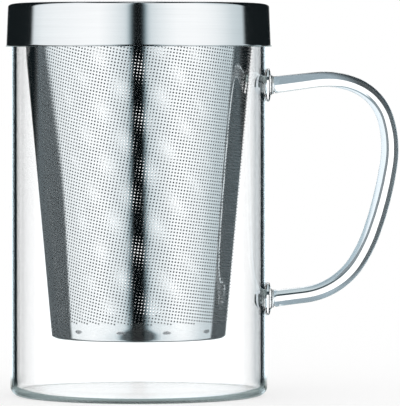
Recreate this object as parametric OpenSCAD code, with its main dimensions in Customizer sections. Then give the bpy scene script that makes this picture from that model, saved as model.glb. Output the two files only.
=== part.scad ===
// Glass tea mug with a fused rod handle, a hanging steel infuser and a lift-off steel lid.
// Millimetres. +Z is up and +X points to the handle.
// The origin is the middle of the base, on the surface that the mug stands on.

/* [Glass body] */
// Outside diameter of the glass
glass_od = 80; // [66:1:98]
// Height of the glass from the table to its rim
glass_h = 118; // [98:1:144]
// Thickness of the glass wall
wall_t = 2; // [1.6:0.1:2.6]
// Thickness of the glass floor
floor_t = 1.5; // [1.2:0.1:2.4]
// Outside corner radius round the base
base_corner_r = 3; // [2.2:0.1:5]
// Inside corner radius round the floor
floor_corner_r = 2; // [1:0.1:4]

/* [Handle] */
// Diameter of the glass rod
rod_d = 5.3; // [4:0.1:6.5]
// From the glass wall to the rod's centreline where the handle reaches furthest
handle_reach = 38; // [32:1:46]
// From the rim down to the rod's centreline at the upper root
upper_root_drop = 21.6; // [17:0.1:26]
// From the table up to the rod's centreline at the lower root
lower_root_h = 30; // [24:0.1:36]
// Upward slope of the upper arm, in degrees
upper_slope = 7; // [4:0.5:9]
// Downward slope of the lower arm towards the wall, in degrees
lower_slope = 7; // [4:0.5:9]
// Diameter of the pads that join the rod to the wall
pad_d = 10.4; // [8.6:0.1:12.5]
// Thickness of a pad from the wall to the rod's end
pad_t = 1.9; // [1.6:0.1:2.4]
// Thickness of a pad at its edge
pad_edge_t = 0.8; // [0.6:0.1:1]

/* [Infuser] */
// Gap between the infuser and the glass at the rim
infuser_gap = 1.9; // [1.5:0.1:2.4]
// Height of the infuser's underside above the table
infuser_floor_h = 18; // [14:0.5:24]
// Taper of the infuser's wall from the vertical, in degrees
infuser_taper = 5.15; // [3.5:0.05:6.5]
// Thickness of the infuser's sheet
infuser_t = 0.4; // [0.3:0.05:0.5]
// Corner radius of the base pan
pan_corner_r = 0.8; // [0.7:0.05:1.2]
// Height of the base pan's upturned edge
pan_h = 5; // [4:0.5:7]
// How far the base pan stands below the wall's lower edge
pan_drop = 0.7; // [0.5:0.05:0.9]
// Thickness of the collar that hangs on the rim
collar_t = 0.5; // [0.4:0.05:0.6]
// Height of the collar's neck round the infuser's wall
collar_h = 6; // [5:0.5:8]
// Inside radius of the bend from the collar's neck to its flange
collar_bend_r = 0.8; // [0.5:0.05:1]
// How far the collar's flange stays inside the glass's outer edge
flange_inset = 0.2; // [0.1:0.05:0.4]

/* [Lid] */
// Height of the lid
lid_h = 13.7; // [11.5:0.1:16.5]
// Height of the lid's top above the glass's rim
lid_rise = 3.9; // [3.3:0.1:4.8]
// Gap between the lid's hem and the glass
lid_gap = 0.4; // [0.3:0.05:0.6]
// Thickness of the lid's sheet
lid_t = 0.6; // [0.5:0.05:0.75]
// How far the lid's skirt draws in from its lower edge to its top
lid_draft = 0.5; // [0.2:0.1:0.8]
// Outside corner radius round the lid's top
lid_corner_r = 1.5; // [1:0.1:2.2]
// Height of the hem folded up inside the skirt
hem_h = 3; // [2.5:0.1:4]
// Thickness of the liner inside the lid
liner_t = 0.5; // [0.4:0.05:0.6]
// How far the liner's plug reaches below the glass's rim
plug_depth = 2.9; // [2.6:0.1:3.6]
// Height of the soft ring round the plug
seal_h = 2; // [1.8:0.1:2.4]
// Radial thickness of the soft ring round the plug
seal_t = 1.2; // [1:0.1:1.5]

/* [Fits] */
// Gap under a part that rests on another
seat_gap = 0.1; // [0.05:0.05:0.2]
// Gap between sheets that are spot-welded together
weld_gap = 0.1; // [0.05:0.01:0.15]
// Gap between the soft ring and the infuser's wall
seal_gap = 0.3; // [0.2:0.05:0.5]

/* [Hidden] */
$fn = 96;
glass_colour = [0.86, 0.94, 0.96, 0.4];
steel_colour = [0.74, 0.75, 0.76];
inner_steel_colour = [0.62, 0.64, 0.66];
silicone_colour = [0.93, 0.93, 0.9];
over = 1;

glass_r = glass_od / 2;
glass_ir = glass_r - wall_t;

// The handle's bends from the upper root to the lower one: radius before scaling, then turn in degrees
bends = [[25, 28], [16.5, 53], [34.5, 24.5], [105, 11.5], [47.5, 12.5], [23, 36.5 + upper_slope + lower_slope]];
root_x = glass_r + pad_t;
// The rod's runs differ by this in diameter, and the thicker ones reach this far into the others,
// so that no two surfaces coincide
run_step = 0.02;
run_overlap = 0.2;
upper_root_z = glass_h - upper_root_drop;
end_heading = lower_slope - 180;

// Heading of the rod before bend i, in degrees above +X
function heading(i) = i == 0 ? upper_slope : heading(i - 1) - bends[i - 1][1];

// Move along a bend of radius r that turns from heading a down to heading b
function bend_move(r, a, b) = r * [sin(a) - sin(b), cos(b) - cos(a)];

// Sum of the unscaled moves over the bends from i on
function sum_moves(i) =
    i == len(bends) ? [0, 0] : bend_move(bends[i][0], heading(i), heading(i + 1)) + sum_moves(i + 1);

// Sum of the unscaled moves outwards, up to where the rod heads straight down
function sum_outwards(i) =
    i == len(bends) || heading(i) <= -90
        ? 0
        : bend_move(bends[i][0], heading(i), max(heading(i + 1), -90))[0] + sum_outwards(i + 1);

// The scale of the bends and the lengths of the two straight arms that close the loop
whole_move = sum_moves(0);
outward = sum_outwards(0);
arm_reach = handle_reach - pad_t;
root_span = upper_root_z - lower_root_h;
bend_scale = (-root_span - arm_reach * (tan(upper_slope) - tan(end_heading)))
    / (whole_move[1] - outward * tan(upper_slope) - (whole_move[0] - outward) * tan(end_heading));
upper_arm = (arm_reach - bend_scale * outward) / cos(upper_slope);
lower_arm = -(upper_arm * cos(upper_slope) + bend_scale * whole_move[0]) / cos(end_heading);

// Where bend i starts, as X and Z
function bend_start(i) =
    i == 0
        ? [root_x + upper_arm * cos(upper_slope), upper_root_z + upper_arm * sin(upper_slope)]
        : bend_start(i - 1) + bend_scale * bend_move(bends[i - 1][0], heading(i - 1), heading(i));

// Outside radius of the infuser's wall at height z
infuser_mouth_r = glass_ir - infuser_gap;
function infuser_r(z) = infuser_mouth_r - (glass_h - z) * tan(infuser_taper);
infuser_wall_w = infuser_t / cos(infuser_taper);

// The stack of thicknesses on the rim
flange_z = glass_h + seat_gap;
liner_z = flange_z + collar_t + seat_gap;
lid_top = glass_h + lid_rise;
lid_low = lid_top - lid_h;

// The lid's skirt, measured at its outside face
hem_w = 2 * lid_t;
skirt_low_r = glass_r + lid_gap + hem_w;
function skirt_r(z) = skirt_low_r - lid_draft * (z - lid_low) / (lid_h - lid_corner_r);

// The liner's plug inside the infuser's mouth
plug_z = glass_h - plug_depth;
liner_corner_r = 2 * liner_t;
seal_z = plug_z + liner_corner_r;
plug_r = infuser_r(seal_z) - infuser_wall_w - seal_gap - seal_t;

// A ring turned about the Z axis from its half section
module turned() {
    rotate_extrude($fn = 180) children();
}

// Section of a bend in sheet of thickness t, from angle a to angle b about its centre, at most a right angle
module sheet_bend(r, t, a, b) {
    reach = 2 * (r + t);
    middle = (a + b) / 2;
    intersection() {
        difference() {
            circle(r + t);
            circle(r);
        }
        polygon([[0, 0], reach * [cos(a), sin(a)], reach * [cos(middle), sin(middle)], reach * [cos(b), sin(b)]]);
    }
}

// Half section of a solid cup that stands on z = 0, with its lower corner rounded
module cup_half(foot_r, mouth_r, h, corner, extra = 0) {
    polygon([[0, 0], [foot_r - corner, 0], [foot_r - corner, corner], [foot_r, corner], [mouth_r, h],
             [mouth_r, h + extra], [0, h + extra]]);
    translate([foot_r - corner, corner]) intersection() {
        circle(corner);
        translate([0, -corner]) square(corner);
    }
}

// Half section of a cup pressed from sheet of thickness t
module sheet_cup_half(foot_r, mouth_r, h, corner, t) {
    difference() {
        cup_half(foot_r, mouth_r, h, corner);
        translate([0, t]) cup_half(foot_r - t, mouth_r - t, h - t, corner - t, over);
    }
}

// Clear tube with a thin floor and a fire-polished rim
module glass_body() {
    rim_h = glass_h - wall_t / 2;
    color(glass_colour) turned() {
        difference() {
            cup_half(glass_r, glass_r, rim_h, base_corner_r);
            translate([0, floor_t]) cup_half(glass_ir, glass_ir, rim_h - floor_t, floor_corner_r, over);
        }
        translate([glass_r - wall_t / 2, rim_h]) intersection() {
            circle(d = wall_t);
            translate([-wall_t / 2, 0]) square([wall_t, wall_t]);
        }
    }
}

// Straight arm from a root outwards; it starts inside the pad and runs on into the bend by reach_on
module rod_arm(root_z, slope, arm, d, reach_on) {
    translate([root_x, 0, root_z]) rotate([0, 90 - slope, 0]) translate([0, 0, -over])
        cylinder(d = d, h = over + arm + reach_on);
}

// Bend i of the rod, as part of a torus; every other bend is thicker by run_step and reaches into its neighbours
module rod_bend(i) {
    thick = (i + 1) % 2;
    r = bends[i][0] * bend_scale;
    a = heading(i);
    b = heading(i + 1);
    extra = thick * run_overlap / r * 180 / PI;
    centre = bend_start(i) + r * [sin(a), -cos(a)];
    translate([centre[0], 0, centre[1]]) rotate([90, 0, 0]) rotate([0, 0, b + 90 - extra])
        rotate_extrude(angle = a - b + 2 * extra) translate([r, 0]) circle(d = rod_d + thick * run_step);
}

// Rod bent to a loop, cut off upright at the two pads
module handle_rod() {
    color(glass_colour) difference() {
        union() {
            rod_arm(upper_root_z, upper_slope, upper_arm, rod_d, 0);
            for (i = [0 : len(bends) - 1]) {
                rod_bend(i);
            }
            rod_arm(lower_root_h, lower_slope, lower_arm, rod_d + run_step, run_overlap);
        }
        translate([root_x - 3 * rod_d, -rod_d, 0]) cube([3 * rod_d, 2 * rod_d, glass_h]);
    }
}

// Pad of glass fused to the wall, necked down to the rod
module handle_pad(z) {
    pad_r = pad_d / 2;
    rod_r = rod_d / 2;
    neck_r = pad_t - pad_edge_t;
    edge_r = pad_edge_t / 2;
    back = glass_r - sqrt(glass_r * glass_r - pad_r * pad_r) + edge_r;
    color(glass_colour) difference() {
        translate([glass_r, 0, z]) rotate([0, 90, 0]) turned() {
            translate([0, -back]) square([pad_r, back + pad_edge_t - edge_r]);
            square([pad_r - edge_r, pad_edge_t]);
            translate([pad_r - edge_r, pad_edge_t - edge_r]) intersection() {
                circle(edge_r);
                square(edge_r);
            }
            difference() {
                square([rod_r + neck_r, pad_t]);
                translate([rod_r + neck_r, pad_t]) circle(neck_r);
            }
        }
        translate([0, 0, z - pad_d]) cylinder(r = glass_r, h = 2 * pad_d, $fn = 180);
    }
}

module upper_handle_pad() {
    handle_pad(upper_root_z);
}

module lower_handle_pad() {
    handle_pad(lower_root_h);
}

// Tapered wall of the infuser, rolled from sheet; its fine perforation is left out of this solid
module infuser_wall() {
    low = infuser_floor_h + pan_drop;
    high = glass_h - collar_t;
    color(inner_steel_colour) turned()
        polygon([[infuser_r(low) - infuser_wall_w, low], [infuser_r(low), low], [infuser_r(high), high],
                 [infuser_r(high) - infuser_wall_w, high]]);
}

// Pan pressed from sheet that closes the infuser's foot from inside
module infuser_base() {
    top = infuser_floor_h + pan_h;
    foot_r = infuser_r(infuser_floor_h + pan_corner_r) - infuser_wall_w - weld_gap;
    mouth_r = infuser_r(top) - infuser_wall_w - weld_gap;
    color(inner_steel_colour) turned()
        translate([0, infuser_floor_h]) sheet_cup_half(foot_r, mouth_r, pan_h, pan_corner_r, infuser_t);
}

// Collar welded round the infuser's mouth, with the flange that hangs on the glass's rim
module infuser_collar() {
    low = glass_h - collar_h;
    collar_w = collar_t / cos(infuser_taper);
    bend_z = flange_z - collar_bend_r;
    bend_r = infuser_r(bend_z) + weld_gap + collar_w + collar_bend_r / cos(infuser_taper);
    outer_top = bend_z + collar_bend_r * sin(infuser_taper);
    inner_top = outer_top + collar_t * sin(infuser_taper);
    color(steel_colour) turned() {
        polygon([[infuser_r(low) + weld_gap, low], [infuser_r(low) + weld_gap + collar_w, low],
                 [infuser_r(outer_top) + weld_gap + collar_w, outer_top],
                 [infuser_r(inner_top) + weld_gap, inner_top]]);
        translate([bend_r, bend_z]) sheet_bend(collar_bend_r, collar_t, 90, 180 - infuser_taper);
        translate([bend_r, flange_z]) square([glass_r - flange_inset - bend_r, collar_t]);
    }
}

// Pressed cap whose skirt is folded up inside itself at the lower edge
module lid_cap() {
    fold_z = lid_low + lid_t;
    hem_top = fold_z + hem_h;
    color(steel_colour) turned() {
        translate([0, lid_top]) mirror([0, 1])
            sheet_cup_half(skirt_r(lid_top - lid_corner_r), skirt_r(fold_z), lid_h - lid_t, lid_corner_r, lid_t);
        polygon([[skirt_r(fold_z) - hem_w, fold_z], [skirt_r(fold_z) - lid_t, fold_z],
                 [skirt_r(hem_top) - lid_t, hem_top], [skirt_r(hem_top) - hem_w, hem_top]]);
        translate([skirt_r(fold_z) - lid_t, fold_z]) intersection() {
            circle(lid_t);
            translate([-lid_t, -lid_t]) square([hem_w, lid_t]);
        }
    }
}

// Plate under the cap: its plug sits in the infuser's mouth and its outer edge turns up to the cap
module lid_liner() {
    lip_r = skirt_r(lid_top - lid_corner_r) - lid_corner_r;
    lip_top = lid_top - lid_t;
    color(inner_steel_colour) turned() {
        translate([0, plug_z]) sheet_cup_half(plug_r, plug_r, liner_z + liner_t - plug_z, liner_corner_r, liner_t);
        translate([plug_r - liner_t, liner_z]) square([lip_r - plug_r + liner_t, liner_t]);
        translate([lip_r - liner_t, liner_z]) square([liner_t, lip_top - liner_z]);
    }
}

// Soft ring on the plug that steadies the lid in the infuser's mouth
module lid_seal() {
    edge_r = seal_t / 3;
    color(silicone_colour) turned() {
        translate([plug_r, seal_z]) square([seal_t - edge_r, seal_h]);
        translate([plug_r + seal_t - edge_r, seal_z + seal_h / 2]) intersection() {
            circle(edge_r);
            translate([0, -edge_r]) square([edge_r, 2 * edge_r]);
        }
    }
}

glass_body();
handle_rod();
upper_handle_pad();
lower_handle_pad();
infuser_wall();
infuser_base();
infuser_collar();
lid_cap();
lid_liner();
lid_seal();
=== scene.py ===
"""Glass tea mug with a hanging perforated infuser and a lift-off lid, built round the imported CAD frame.

The file is laid out as a Blender add-on and is run as a script. Lengths are metres, +Z is up, +X points
to the handle, and the camera side is -Y.
"""

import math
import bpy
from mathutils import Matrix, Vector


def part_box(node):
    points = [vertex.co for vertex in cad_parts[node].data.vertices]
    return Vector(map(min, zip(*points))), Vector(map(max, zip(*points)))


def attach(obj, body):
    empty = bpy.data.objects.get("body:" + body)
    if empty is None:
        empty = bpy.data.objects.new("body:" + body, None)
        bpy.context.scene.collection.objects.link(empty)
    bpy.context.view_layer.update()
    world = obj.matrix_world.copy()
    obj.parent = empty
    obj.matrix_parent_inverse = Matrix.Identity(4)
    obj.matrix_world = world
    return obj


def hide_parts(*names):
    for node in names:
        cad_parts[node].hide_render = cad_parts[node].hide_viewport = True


bl_info = {
    "name": "Glass Infuser Mug",
    "version": (1, 0, 0),
    "blender": (4, 5, 0),
    "location": "View3D > Sidebar > Infuser Mug",
    "description": "Builds a glass tea mug with a steel infuser, a lift-off lid and a white studio",
    "category": "Add Mesh",
}

import bmesh
import bpy
import numpy as np
from bpy.props import FloatProperty, FloatVectorProperty, PointerProperty
from mathutils import Vector

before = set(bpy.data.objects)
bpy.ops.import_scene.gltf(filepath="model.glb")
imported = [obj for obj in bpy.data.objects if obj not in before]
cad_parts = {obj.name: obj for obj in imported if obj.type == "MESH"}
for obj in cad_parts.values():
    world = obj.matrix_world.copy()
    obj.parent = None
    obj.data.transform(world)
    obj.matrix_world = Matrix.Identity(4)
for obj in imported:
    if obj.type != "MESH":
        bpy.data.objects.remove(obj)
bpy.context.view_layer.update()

MM = 0.001
DEG = math.pi / 180
GLASS_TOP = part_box("glass_body")[1]
WALL_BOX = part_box("infuser_wall")
BASE_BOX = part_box("infuser_base")
COLLAR_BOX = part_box("infuser_collar")
CAP_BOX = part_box("lid_cap")
LINER_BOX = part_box("lid_liner")
SEAL_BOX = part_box("lid_seal")

WELD = 1e-6
LATHE_STEPS = 192


def length_setting(name, description, value):
    """A setting in metres."""
    return FloatProperty(name=name, description=description, default=value, unit="LENGTH")


def colour_setting(name, description, value):
    """A setting that is a colour."""
    return FloatVectorProperty(name=name, description=description, subtype="COLOR", default=value,
                               min=0, max=1)


def place_setting(name, description, value):
    """A setting that is a place."""
    return FloatVectorProperty(name=name, description=description, subtype="TRANSLATION", default=value)


class MugGlassSettings(bpy.types.PropertyGroup):
    """Sizes and colour of the mug's glass."""

    radius: length_setting("Outside radius", "Outside radius of the glass tube", GLASS_TOP.x)
    height: length_setting("Height", "From the table to the rim", GLASS_TOP.z)
    wall: length_setting("Wall", "Thickness of the wall", 2 * MM)
    floor: length_setting("Floor", "Thickness of the floor", 1.5 * MM)
    base_corner: length_setting("Base corner", "Outside corner radius round the base", 3 * MM)
    floor_corner: length_setting("Floor corner", "Inside corner radius round the floor", 2 * MM)
    punt: length_setting("Punt", "How far the underside rises towards its middle", 0.3 * MM)
    upper_root: length_setting("Upper root", "Height of the rod's upper root", 96.4 * MM)
    lower_root: length_setting("Lower root", "Height of the rod's lower root", 30 * MM)
    pad_height: length_setting("Pad height", "From the wall to the rod's end", 1.9 * MM)
    tint: colour_setting("Tint", "Colour of the clear glass", (0.992, 0.996, 0.998))


class InfuserSettings(bpy.types.PropertyGroup):
    """Sizes and colours of the hanging infuser."""

    mouth_radius: length_setting("Mouth radius", "Outside radius of the wall at the glass's rim", 36.1 * MM)
    taper: FloatProperty(name="Taper", description="Slope of the wall from the vertical",
                         default=5.15 * DEG, subtype="ANGLE")
    sheet: length_setting("Sheet", "Thickness of the perforated sheet", 0.4 * MM)
    pitch: length_setting("Pitch", "Distance between holes", 1.0 * MM)
    hole_radius: length_setting("Hole radius", "From a hole's middle to its eight corners", 0.29 * MM)
    field_low: length_setting("Holes from", "Height at which the perforation starts", 23.4 * MM)
    field_high: length_setting("Holes to", "Height at which the perforation stops", 111.4 * MM)
    plate_radius: length_setting("Plate radius", "Radius of the pan's flat perforated plate", 25.2 * MM)
    steel: colour_setting("Steel", "Colour of the infuser's steel", (0.955, 0.955, 0.955))
    # The inner face is rougher steel, and its colour is darkened as painted shade so that the infuser's inside
    # and its holes look dark
    shaded_inner_steel: colour_setting("Shaded inner steel", "Colour of the sheet's duller inner face", (0.30, 0.32, 0.335))
    lap: length_setting("Lap", "How far the sheet's start stands up over its end at the seam", 0.41 * MM)


class LidSettings(bpy.types.PropertyGroup):
    """Sizes and colours of the lid."""

    corner: length_setting("Corner", "Outside corner radius round the top", 1.5 * MM)
    sheet: length_setting("Sheet", "Thickness of the cap's sheet", 0.6 * MM)
    hem: length_setting("Hem", "Height of the hem folded up inside the skirt", 3 * MM)
    draft: length_setting("Draft", "How far the skirt draws in towards its top", 0.5 * MM)
    liner: length_setting("Liner", "Thickness of the inner plate", 0.5 * MM)
    steel: colour_setting("Steel", "Colour of the brushed cap", (0.875, 0.885, 0.895))
    silicone: colour_setting("Silicone", "Colour of the soft ring", (0.85, 0.86, 0.84))


class StudioSettings(bpy.types.PropertyGroup):
    """The camera and the white studio."""

    eye: place_setting("Eye", "Place of the camera", (19.0 * MM, -1366.3 * MM, 103.6 * MM))
    target: place_setting("Target", "Point that the camera looks at", (19.0 * MM, 0, 59.7 * MM))
    lens: FloatProperty(name="Lens", description="Focal length in millimetres", default=390.15)
    floor_size: length_setting("Floor size", "Width of the pale floor", 12)


# Modelling by hand


def edit_mode():
    """Starts to edit the active object's mesh."""
    bpy.ops.object.mode_set(mode="EDIT")


def object_mode():
    """Ends the editing."""
    bpy.ops.object.mode_set(mode="OBJECT")


def select_all():
    """In edit mode, selects the whole mesh."""
    bpy.ops.mesh.select_all(action="SELECT")


def start_clean():
    """Leaves edit mode and deselects everything."""
    if bpy.context.object is not None and bpy.context.object.mode != "OBJECT":
        object_mode()
    bpy.ops.object.select_all(action="DESELECT")


def pick(*pieces):
    """Selects pieces alone and makes the first one active."""
    start_clean()
    for piece in pieces:
        piece.select_set(True)
    bpy.context.view_layer.objects.active = pieces[0]


def place_for_good():
    """Moves the active object's place, turn and scale into its mesh."""
    bpy.ops.object.transform_apply(location=True, rotation=True, scale=True)


def arc(centre, radius, start, end, steps):
    """Points of an arc in a half section, from start to end in degrees."""
    angles = [math.radians(start + (end - start) * i / steps) for i in range(steps + 1)]
    return [(centre[0] + radius * math.cos(a), centre[1] + radius * math.sin(a)) for a in angles]


def lathe(name, outline, steps=LATHE_STEPS, crease=35):
    """Extrudes an outline point by point in the XZ plane and spins it round the Z axis."""
    start_clean()
    bpy.ops.mesh.primitive_plane_add(size=MM, location=(outline[0][0], 0, outline[0][1]))
    piece = bpy.context.object
    piece.name = name
    place_for_good()
    edit_mode()
    bpy.ops.mesh.select_mode(type="VERT")
    select_all()
    bpy.ops.mesh.merge(type="CENTER")
    for (x0, z0), (x1, z1) in zip(outline, outline[1:]):
        bpy.ops.mesh.extrude_region_move(TRANSFORM_OT_translate={"value": (x1 - x0, 0, z1 - z0)})
    select_all()
    bpy.ops.mesh.spin(steps=steps, angle=math.tau, center=(0, 0, 0), axis=(0, 0, 1))
    tidy_shell()
    object_mode()
    bpy.ops.object.shade_smooth_by_angle(angle=crease * DEG)
    return piece


def tidy_shell():
    """Merges doubles and turns the faces outwards."""
    select_all()
    bpy.ops.mesh.remove_doubles(threshold=WELD)
    bpy.ops.mesh.normals_make_consistent(inside=False)


def apply_modifier(piece, kind, **settings):
    """Adds a modifier to a piece and applies it."""
    pick(piece)
    bpy.ops.object.modifier_add(type=kind)
    modifier = piece.modifiers[-1]
    for key, value in settings.items():
        setattr(modifier, key, value)
    bpy.ops.object.modifier_apply(modifier=modifier.name)


def join(pieces, name):
    """Joins pieces into the first one."""
    pick(*pieces)
    bpy.ops.object.join()
    pieces[0].name = name
    return pieces[0]


def set_finishes(piece, *materials):
    """Gives a piece its materials."""
    piece.data.materials.clear()
    for material in materials:
        piece.data.materials.append(material)


def finish_piece(piece, body, slot, *nodes):
    """Gives a piece its body and hides the CAD nodes that it stands for; its slot is not used."""
    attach(piece, body)
    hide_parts(*nodes)


# Nodes of materials and of the world


def add_node(tree, kind, **settings):
    """Adds a node with its settings."""
    made = tree.nodes.new(kind)
    for key, value in settings.items():
        setattr(made, key, value)
    return made


class Value:
    """What a node gives. Arithmetic and comparisons with it add Math nodes to its tree."""

    def __init__(self, tree, socket):
        self.tree = tree
        self.socket = socket

    def maths(self, operation, *others):
        """The result of a Math node whose first input is this value."""
        return result(self.tree, "ShaderNodeMath", (self, *others), operation=operation)

    def __add__(self, other):
        return self.maths("ADD", other)

    def __sub__(self, other):
        return self.maths("SUBTRACT", other)

    def __rsub__(self, other):
        return self * -1 + other

    def __mul__(self, other):
        return self.maths("MULTIPLY", other)

    def __truediv__(self, other):
        return self.maths("DIVIDE", other)

    def __lt__(self, other):
        return self.maths("LESS_THAN", other)

    def __gt__(self, other):
        return self.maths("GREATER_THAN", other)


def feed(socket, value):
    """Links a socket to a value, or writes a number or colour to it."""
    if isinstance(value, Value):
        value.tree.links.new(value.socket, socket)
    else:
        socket.default_value = value


def result(tree, kind, inputs, output=0, **settings):
    """Adds a node, feeds its inputs in order or by name, and gives one of its outputs."""
    made = add_node(tree, kind, **settings)
    for key, value in inputs.items() if isinstance(inputs, dict) else enumerate(inputs):
        feed(made.inputs[key], value)
    return Value(tree, made.outputs[output])


def axes(vector):
    """The x, y and z of a vector."""
    made = add_node(vector.tree, "ShaderNodeSeparateXYZ")
    feed(made.inputs[0], vector)
    return [Value(vector.tree, socket) for socket in made.outputs]


def combine(x, y, z):
    """A vector of three numbers."""
    return result(x.tree, "ShaderNodeCombineXYZ", (x, y, z))


def noise(vector, scale, detail=2.0, roughness=0.5):
    """Noise over a vector."""
    inputs = {"Vector": vector, "Scale": scale, "Detail": detail, "Roughness": roughness}
    return result(vector.tree, "ShaderNodeTexNoise", inputs, "Fac")


def spread(value, low, high, new_low, new_high):
    """Maps one range to another and clamps it."""
    return result(value.tree, "ShaderNodeMapRange", (value, low, high, new_low, new_high))


def window(value, start, full, until, end):
    """Rises from 0 to 1 between start and full, and falls back between until and end."""
    return spread(value, start, full, 0, 1) * spread(value, until, end, 1, 0)


def ramp(value, stops):
    """A colour ramp over (place, grey or colour) stops."""
    made = add_node(value.tree, "ShaderNodeValToRGB")
    feed(made.inputs[0], value)
    band = made.color_ramp.elements
    for index, (place, colour) in enumerate(stops):
        if index == 0:
            stop = band[0]
        elif index == len(stops) - 1:
            stop = band[len(band) - 1]
        else:
            stop = band.new(place)
        stop.position = place
        stop.color = (*colour, 1) if hasattr(colour, "__len__") else (colour, colour, colour, 1)
    return Value(value.tree, made.outputs[0])


def tint_between(factor, first, second, blend="MIX"):
    """Mixes two colours, each a value or three numbers."""
    tree = next(v.tree for v in (factor, first) if isinstance(v, Value))
    made = add_node(tree, "ShaderNodeMix", data_type="RGBA", blend_type=blend)
    feed(made.inputs["Factor"], factor)
    for socket, colour in zip([s for s in made.inputs if s.type == "RGBA"], (first, second)):
        feed(socket, colour if isinstance(colour, Value) else (*colour, 1))
    return Value(tree, next(s for s in made.outputs if s.type == "RGBA"))


def multiply_colours(first, second):
    """The product of two colours."""
    return tint_between(1, first, second, "MULTIPLY")


def bump(height, distance, strength=1.0, under=None):
    """A Bump node's normal, laid over another bump if there is one."""
    inputs = {"Height": height, "Strength": strength, "Distance": distance}
    if under is not None:
        inputs["Normal"] = under
    return result(height.tree, "ShaderNodeBump", inputs, "Normal")


# Materials


def new_finish(name):
    """A material with one Principled shader, its shader's inputs and the piece's own coordinates."""
    material = bpy.data.materials.new(name)
    material.use_nodes = True
    tree = material.node_tree
    return material, tree.nodes["Principled BSDF"].inputs, result(tree, "ShaderNodeTexCoord", (), "Object")


# Nearer the axis than this, streaks round it stop turning
AXIS_REACH = 0.5 * MM


def turned_coordinates(place, around, along):
    """Coordinates that run round the Z axis: long streaks round it, fine steps up and outwards."""
    x, y, z = axes(place)
    radius = (x * x + y * y).maths("SQRT").maths("MAXIMUM", AXIS_REACH)
    return combine(x / radius * around, y / radius * around, (z + radius) * along)


# The glass is dull underneath, up to this height, from the mould that its foot was flattened on
DULL_FOOT = 0.3 * MM
DULL_FOOT_ROUGHNESS = 0.38


def clear_glass(settings):
    """Drawn clear glass with faint upright draw lines and a dull underside."""
    material, shader, place = new_finish("fused_clear_glass")
    stretched = result(place.tree, "ShaderNodeMapping", {"Vector": place, "Scale": (1, 1, 0.08)})
    lines = noise(stretched, 260, 1.0)
    feed(shader["Base Color"], (*settings.tint, 1))
    feed(shader["Transmission Weight"], 1)
    feed(shader["IOR"], 1.47)
    dull = spread(axes(place)[2], DULL_FOOT, 2 * DULL_FOOT, DULL_FOOT_ROUGHNESS, 0)
    polish = spread(noise(place, 90, 3), 0.45, 0.75, 0.0, 0.012)
    feed(shader["Roughness"], polish.maths("MAXIMUM", dull))
    feed(shader["Normal"], bump(lines, 0.01 * MM, 0.15))
    return material


# How far under the cap's top its satin finish starts and is full, and how much rougher than the skirt it is
SATIN_DEPTH = (0.15 * MM, 0.01 * MM)
SATIN = 0.36


def brushed_steel(settings):
    """The cap's steel, brushed round its axis, with a duller satin top."""
    material, shader, place = new_finish("brushed_lid_steel")
    fine = noise(turned_coordinates(place, 2.2, 5200), 1, 3, 0.6)
    broad = noise(turned_coordinates(place, 0.8, 900), 1, 2, 0.5)
    shade = spread(fine + broad, 0.7, 1.3, 0, 1)
    pale = settings.steel
    feed(shader["Base Color"], tint_between(shade, [c * 0.95 for c in pale], pale))
    feed(shader["Metallic"], 1)
    satin = spread(axes(place)[2], *[CAP_BOX[1].z - depth for depth in SATIN_DEPTH], 0, SATIN)
    feed(shader["Roughness"], spread(fine, 0.3, 0.7, 0.07, 0.11) + satin)
    feed(shader["Normal"], bump(fine, 0.004 * MM, 0.35))
    return material


# The spot welds round the foot: height, turn of one of them, the angle between two, half their width and
# height, and the radius of the wall that they sit on
WELD_HEIGHT = 20.9 * MM
WELD_TURN = -11 * DEG
WELD_STEP = 30 * DEG
WELD_HALF_WIDTH = 1.35 * MM
WELD_HALF_HEIGHT = 0.55 * MM
WELD_RADIUS = 27.4 * MM
BURNT_STEEL = (0.16, 0.16, 0.17)


def weld_marks(place):
    """1 where a spot weld has pressed and burnt the infuser's foot, ragged at its edge, and 0 elsewhere."""
    x, y, z = axes(place)
    step = (x.maths("ARCTAN2", y * -1) - WELD_TURN) / WELD_STEP
    # Six whole steps keep the number above 0, and half a step puts each weld in its step's middle
    across = ((step + 6.5).maths("FRACT") - 0.5) * (WELD_STEP * WELD_RADIUS)
    near = combine(across / WELD_HALF_WIDTH, (z - WELD_HEIGHT) / WELD_HALF_HEIGHT, 0.0)
    reach = result(place.tree, "ShaderNodeVectorMath", (near,), "Value", operation="LENGTH")
    ragged = noise(place, 1900, 2).maths("MULTIPLY_ADD", 0.7, reach - 0.35)
    return spread(ragged, 0.75, 1.1, 1, 0)


def rolled_steel(name, colour, low, high, welded=False):
    """Plain rolled steel with a faint grain and scuffs, and a roughness between low and high."""
    material, shader, place = new_finish(name)
    grain = noise(turned_coordinates(place, 14, 1500), 1, 3, 0.6)
    scuffs = noise(place, 160, 4, 0.6)
    base = tint_between(spread(grain + scuffs, 0.75, 1.25, 0, 1), [c * 0.94 for c in colour], colour)
    gloss = spread(scuffs, 0.35, 0.65, low, high)
    normal = bump(grain, 0.003 * MM, 0.10 if welded else 0.25)
    if welded:
        mark = weld_marks(place)
        base = tint_between(mark * 0.75, base, BURNT_STEEL)
        gloss = mark.maths("MULTIPLY_ADD", 0.25, gloss)
        normal = bump(mark, 0.12 * MM, 0.6, normal)
    feed(shader["Base Color"], base)
    feed(shader["Metallic"], 1)
    feed(shader["Roughness"], gloss)
    feed(shader["Normal"], normal)
    return material


def milky_silicone(settings):
    """Translucent silicone with moulding dust and a soft sheen."""
    material, shader, place = new_finish("milky_silicone")
    cloud = noise(place, 320, 4, 0.6)
    pale = settings.silicone
    feed(shader["Base Color"], tint_between(cloud, [c * 0.95 for c in pale], pale))
    feed(shader["Subsurface Weight"], 0.4)
    feed(shader["Subsurface Scale"], 1.5 * MM)
    feed(shader["Roughness"], spread(cloud, 0.3, 0.7, 0.42, 0.58))
    feed(shader["Normal"], bump(noise(place, 2600, 2), 0.01 * MM, 0.3))
    return material


# The mug's glass

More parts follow.
